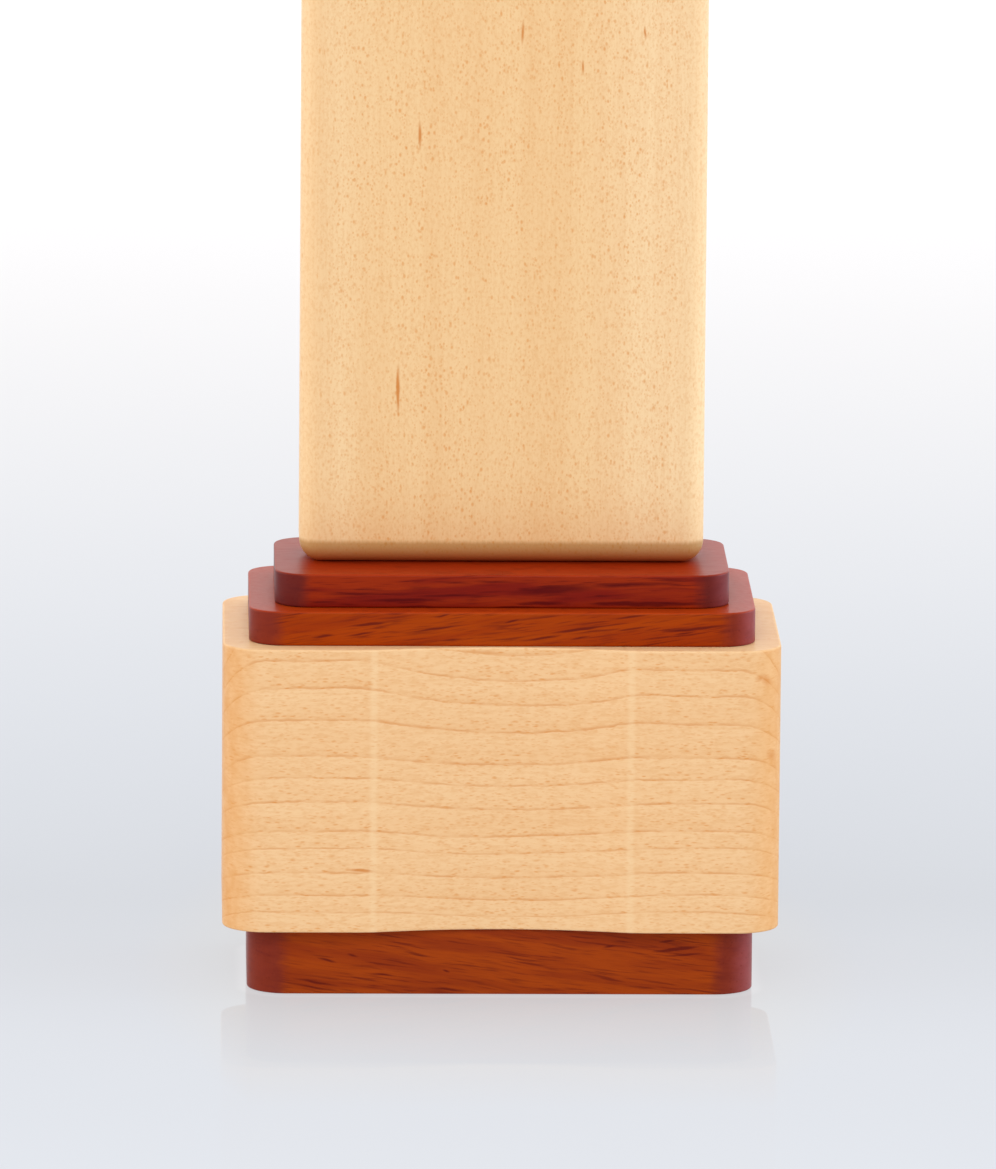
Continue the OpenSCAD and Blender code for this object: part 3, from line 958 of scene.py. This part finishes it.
def peg_beech(colours):
    """Beech with upright grain and the short brown flecks of its rays."""
    material, graph, place = new_material("peg_beech_look")
    fibres = graph.noise(place, (0.3, 0.3, 8), 3, 0.6)
    flecks = graph.flecks(place, (0.7, 0.7, 2.4), 0.6, 0.1, 0.35, seed=3)
    wood = graph.layers(
        colours.beech,
        (graph.step(fibres, 0.3, 0.8) * 0.25, colours.fleck_and_shade),
        (flecks * 0.5, colours.fleck_and_shade),
    )
    graph.shade(wood, graph.step(fibres, 0.2, 0.8, 0.5, 0.62), fibres, 0.015, IOR=SATIN)
    return material


def screw_zinc(colours):
    """Zinc plating: cloudy, with fine turning lines across the axis."""
    material, graph, place = new_material("screw_steel_look")
    cloud = graph.noise(place, (1.2, 1.2, 1.2), 3)
    lines = graph.noise(place, (3, 3, 0.06), seed=5)
    dull = graph.vector("SCALE", colours.zinc, 0.55)
    metal = graph.mix(graph.step(cloud, 0.3, 0.8) * 0.35, colours.zinc, dull)
    graph.shade(metal, graph.step(cloud, 0.2, 0.8, 0.24, 0.42), lines, 0.004, Metallic=1.0)
    return material


def wool_felt(colours):
    """Pressed wool: matted fibres in two greys."""
    material, graph, place = new_material("felt_look")
    place = graph.warp(place, (0.8, 0.8, 0.8), (0.9, 0.9, 0.9))
    fibres = graph.noise(place, (0.35, 0.09, 0.12), 3, 0.7)
    across = graph.noise(place, (0.09, 0.35, 0.12), 3, 0.7, seed=4)
    mat = graph.math("MAXIMUM", fibres, across)
    pale = graph.vector("SCALE", colours.felt, 2.2)
    wool = graph.mix(graph.step(mat, 0.4, 0.8) * 0.7, colours.felt, pale)
    graph.shade(wool, graph.step(mat, 0.2, 0.8, 0.88, 0.98), mat, 0.08, IOR=1.2)
    return material


# ---------------------------------------------------------------- stage

# The camera looks from CAMERA at TARGET, turned by ROLL, through a long lens
CAMERA = Vector((-0.045566, -1.82835, 0.400741))
TARGET = Vector((-0.000307, 0, 0.053941))
ROLL = math.radians(0.452)
LENS = 418.1

# Tints of the softboxes at the sides
SIDE_TINT = (0.66, 0.84, 1.0)
FILL_TINT = (0.92, 0.96, 1.0)

FLOOR_RADIUS = 6.0
# The light through the floor: its share at the middle, what each millimetre towards the back adds from
# BACK_START on, up to BACK_MOST, and what a thin edge round the plinth adds
FLOOR_GLOW = 0.975
BACK_START = 45
BACK_RISE = 0.00085
BACK_MOST = 1.2
EDGE_GLOW = 0.09
# Tints of that light, near the camera and behind
FRONT_TINT = (0.93, 0.96, 1.03)
REAR_TINT = (0.975, 0.955, 0.96)
# The floor's coat mirrors this share of what it can beside the plinth. It loses so much a millimetre
# outwards, and more to the left and right, until it is down to the last
MIRROR = 0.86
MIRROR_LOSS = 0.0118
SIDE_LOSS = 0.04
FAR_MIRROR = 0.06


def floor_material(sizes, lights):
    """A pale translucent floor that light comes up through, more of it behind, with a clear coat.

    The coat mirrors most beside the plinth, whose distance is that from a rectangle with round corners.
    """
    material, graph, place = new_material("studio_floor")
    _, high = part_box("plinth")
    x, y, _ = graph.axes(place)
    cloud = graph.noise(place, (60, 60, 60))
    pale = graph.vector("SCALE", lights.floor, 0.985)
    tint = graph.mix(graph.step(cloud, 0.3, 0.7), lights.floor, pale)
    behind = graph.math("MINIMUM", graph.math("MAXIMUM", y - BACK_START, 0) * BACK_RISE, BACK_MOST)
    # Painted light: the floor glows more towards the camera
    near = graph.step(y, 60, -60) * 0.135 + graph.step(y, -60, -180) * 0.04
    corner = sizes.plinth_corner
    past_x = graph.math("MAXIMUM", abs(x) - (high.x - corner) / MM, 0)
    past_y = graph.math("MAXIMUM", abs(y) - (high.y - corner) / MM, 0)
    away = graph.math("SQRT", past_x * past_x + past_y * past_y) - corner / MM
    edge = graph.step(away, 2.0, 0.2) * EDGE_GLOW
    hue = graph.mix(graph.step(y, 60, 600), FRONT_TINT, REAR_TINT)
    glow = graph.vector("SCALE", hue, behind + near + edge + FLOOR_GLOW)
    aside = graph.math("MAXIMUM", abs(x) - high.x / MM, 0) * SIDE_LOSS
    mirror = MIRROR - graph.math("MAXIMUM", away, 0) * MIRROR_LOSS - aside
    coat = graph.math("MAXIMUM", mirror, FAR_MIRROR)
    graph.shade(tint, graph.step(cloud, 0.3, 0.7, 0.5, 0.54), Specular_IOR_Level=0.0,
                Emission_Color=glow, Emission_Strength=lights.glow,
                Coat_Weight=coat, Coat_Roughness=0.015, Coat_IOR=1.15, Coat_Tint=(1.0, 0.985, 0.96, 1.0))
    return material


def floor_mesh():
    """A wide flat disc in rings whose radii grow by the same share."""
    radii = np.concatenate([[0], np.geomspace(0.05, FLOOR_RADIUS, 12)])[:, None]
    angles = np.linspace(0, 2 * math.pi, 65)[:-1]
    shell = Shell()
    shell.grid(at(0)(circle(0, radii, angles)), around=True)
    return shell.build("studio_floor")


def softbox(name, power, place, towards, wide, high, tint=(1, 1, 1)):
    """An area light that faces a point."""
    light = bpy.data.lights.new(name, "AREA")
    light.shape = "RECTANGLE"
    light.size, light.size_y = wide, high
    light.energy = power
    light.color = tint
    lamp = bpy.data.objects.new(name, light)
    lamp.location = place
    lamp.rotation_euler = (Vector(towards) - Vector(place)).to_track_quat("-Z", "Y").to_euler()
    lamp.visible_camera = False
    bpy.context.scene.collection.objects.link(lamp)
    return lamp


def surroundings(strength):
    """White surroundings, brighter at the sides and behind: strength * (0.8 + 0.5 x^2 + 0.3 y)."""
    world = bpy.data.worlds.new("studio")
    world.use_nodes = True
    bpy.context.scene.world = world
    graph = Graph(world.node_tree)
    x, y, _ = graph.axes(graph.add("TexCoord", {})["Generated"])
    power = (x * x * 0.5 + y * 0.3 + 0.8) * strength
    light = graph.add("Background", {"Color": graph.vector("SCALE", (1, 1, 1), power)})["Background"]
    graph.add("OutputWorld", {"Surface": light})


def camera():
    """A camera at CAMERA, level with the horizon but for ROLL."""
    lens = bpy.data.cameras.new("camera")
    lens.lens = LENS
    lens.sensor_width = 36
    lens.clip_start, lens.clip_end = 0.1, 40
    eye = bpy.data.objects.new("camera", lens)
    aim = (TARGET - CAMERA).to_track_quat("-Z", "Y").to_matrix().to_4x4()
    eye.matrix_world = Matrix.Translation(CAMERA) @ aim @ Matrix.Rotation(ROLL, 4, "Z")
    bpy.context.scene.collection.objects.link(eye)
    bpy.context.scene.camera = eye


# ---------------------------------------------------------------- operators


def hand_over(piece, node, body, material):
    """Gives a piece its material and its body, and hides the frame's part that it takes the place of."""
    piece.data.materials.append(material)
    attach(piece, body)
    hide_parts(node)


class Maker:
    """What the operators share."""

    bl_options = {"REGISTER", "UNDO"}

    def execute(self, context):
        self.make(context.scene.stand_sizes, context.scene.wood_colours, context.scene.studio_lights)
        return {"FINISHED"}


class STAND_OT_tablet(Maker, Operator):
    """Build the maple tablet"""

    bl_idname = "stand.tablet"
    bl_label = "Tablet"

    def make(self, sizes, colours, lights):
        hand_over(tablet_mesh(sizes), "tablet", BOARD, tablet_maple(colours))


class STAND_OT_pegs(Maker, Operator):
    """Build the pins of the tablet and the dowels of the base"""

    bl_idname = "stand.pegs"
    bl_label = "Pins and dowels"

    def make(self, sizes, colours, lights):
        beech = peg_beech(colours)
        for side in ("left", "right"):
            pin = peg_mesh(f"tablet_pin_{side}", f"beech_pin_{side}")
            hand_over(pin, f"tablet_pin_{side}", BOARD, beech)
            for kind in ("step_dowel", "plinth_dowel"):
                dowel = peg_mesh(f"{kind}_{side}", f"beech_{kind}_{side}", DOWEL_FLUTES)
                hand_over(dowel, f"{kind}_{side}", BASE, beech)


class STAND_OT_steps(Maker, Operator):
    """Build the two steps of red hardwood"""

    bl_idname = "stand.steps"
    bl_label = "Steps"

    def make(self, sizes, colours, lights):
        upper = step_mesh(sizes, "upper_step", "red_upper_step")
        hand_over(upper, "upper_step", BASE, upper_red(sizes, colours))
        lower = step_mesh(sizes, "lower_step", "red_lower_step")
        hand_over(lower, "lower_step", BASE, lower_red(sizes, colours))


class STAND_OT_block(Maker, Operator):
    """Build the maple block with the hollow down its front"""

    bl_idname = "stand.block"
    bl_label = "Block"

    def make(self, sizes, colours, lights):
        hand_over(block_mesh(sizes), "body_block", BASE, block_maple(sizes, colours))


class STAND_OT_plinth(Maker, Operator):
    """Build the plinth of red hardwood"""

    bl_idname = "stand.plinth"
    bl_label = "Plinth"

    def make(self, sizes, colours, lights):
        hand_over(plinth_mesh(sizes), "plinth", BASE, plinth_red(sizes, colours))


class STAND_OT_screws(Maker, Operator):
    """Build the two screws"""

    bl_idname = "stand.screws"
    bl_label = "Screws"

    def make(self, sizes, colours, lights):
        zinc = screw_zinc(colours)
        for side in ("left", "right"):
            node = f"plinth_screw_{side}"
            hand_over(screw_mesh(node, f"zinc_screw_{side}"), node, BASE, zinc)


class STAND_OT_felt(Maker, Operator):
    """Build the felt under the plinth"""

    bl_idname = "stand.felt"
    bl_label = "Felt"

    def make(self, sizes, colours, lights):
        hand_over(felt_mesh(sizes), "felt_pad", BASE, wool_felt(colours))


class STAND_OT_stage(Maker, Operator):
    """Build the floor, lights, surroundings and camera"""

    bl_idname = "stand.stage"
    bl_label = "Studio"

    def make(self, sizes, colours, lights):
        floor = floor_mesh()
        floor.data.materials.append(floor_material(sizes, lights))
        middle = (0, 0, 0.06)
        softbox("key_light", lights.key, (-0.2, -1.5, 0.95), middle, 1.1, 0.8)
        softbox("side_light", lights.side, (1.6, 0.3, 0.35), middle, 1.2, 1.0, SIDE_TINT)
        softbox("fill_light", lights.fill, (-1.6, 0.3, 0.35), middle, 1.2, 1.0, FILL_TINT)
        softbox("rear_light", lights.rear, (0, 1.5, 0.7), (0, 0.75, 0), 2.6, 0.6)
        surroundings(lights.sky)
        camera()
        bpy.context.scene.view_settings.view_transform = "Standard"


class STAND_PT_panel(Panel):
    """Buttons that build the pieces, and their sizes and colours"""

    bl_idname = "STAND_PT_panel"
    bl_label = "Tablet on a stepped base"
    bl_space_type = "VIEW_3D"
    bl_region_type = "UI"
    bl_category = "Tablet"

    def draw(self, context):
        for operator in OPERATORS:
            self.layout.operator(operator.bl_idname)
        for group in (context.scene.stand_sizes, context.scene.wood_colours, context.scene.studio_lights):
            box = self.layout.box()
            for name in group.__annotations__:
                box.prop(group, name)


OPERATORS = (STAND_OT_tablet, STAND_OT_pegs, STAND_OT_steps, STAND_OT_block, STAND_OT_plinth, STAND_OT_screws,
             STAND_OT_felt, STAND_OT_stage)
CLASSES = (StandSizes, WoodColours, StudioLights, *OPERATORS, STAND_PT_panel)


def register():
    for kind in CLASSES:
        bpy.utils.register_class(kind)
    bpy.types.Scene.stand_sizes = PointerProperty(type=StandSizes)
    bpy.types.Scene.wood_colours = PointerProperty(type=WoodColours)
    bpy.types.Scene.studio_lights = PointerProperty(type=StudioLights)


def unregister():
    del bpy.types.Scene.stand_sizes, bpy.types.Scene.wood_colours, bpy.types.Scene.studio_lights
    for kind in reversed(CLASSES):
        bpy.utils.unregister_class(kind)


def main():
    """Registers the add-on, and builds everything."""
    register()
    for operator in OPERATORS:
        getattr(bpy.ops.stand, operator.bl_idname.split(".")[1])()


if __name__ == "__main__":
    main()
